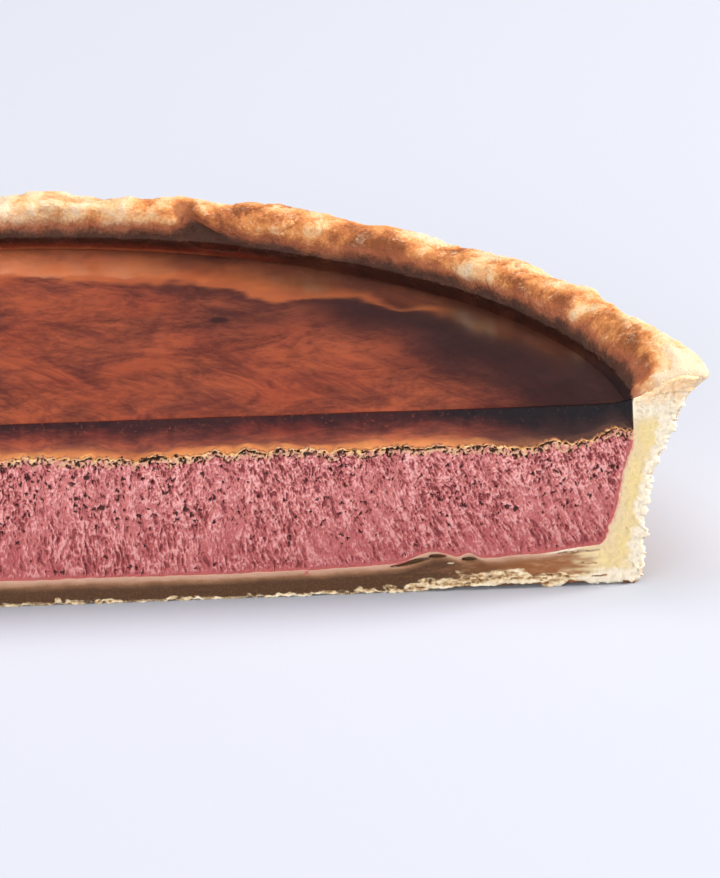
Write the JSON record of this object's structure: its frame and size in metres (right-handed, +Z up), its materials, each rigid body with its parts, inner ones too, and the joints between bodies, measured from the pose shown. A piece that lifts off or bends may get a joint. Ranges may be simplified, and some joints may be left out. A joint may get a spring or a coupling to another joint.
{
  "type": "savory tart half",
  "caption": "Half of a deep savory tart cut through the middle: rough-rimmed pastry crust, pink liver parfait filling and a clear amber jelly on top.",
  "frame": {"origin": "middle of the underside, at the bottom centre of the half tart's bounding box", "axes": "+X along the straight cut, +Y from the cut face towards the round side, +Z up"},
  "size_m": [0.2262, 0.109, 0.0397],
  "materials": {
    "pastry": "baked short pastry, dry and rough, browned on the rim and pale cream where cut",
    "parfait": "soft set liver parfait, pitted and moist, with a tan baked skin",
    "jelly": "clear amber brown jelly, glossy"
  },
  "bodies": {
    "root": {"crust": "pastry", "parfait": "parfait", "jelly": "jelly"}
  },
  "joints": []
}
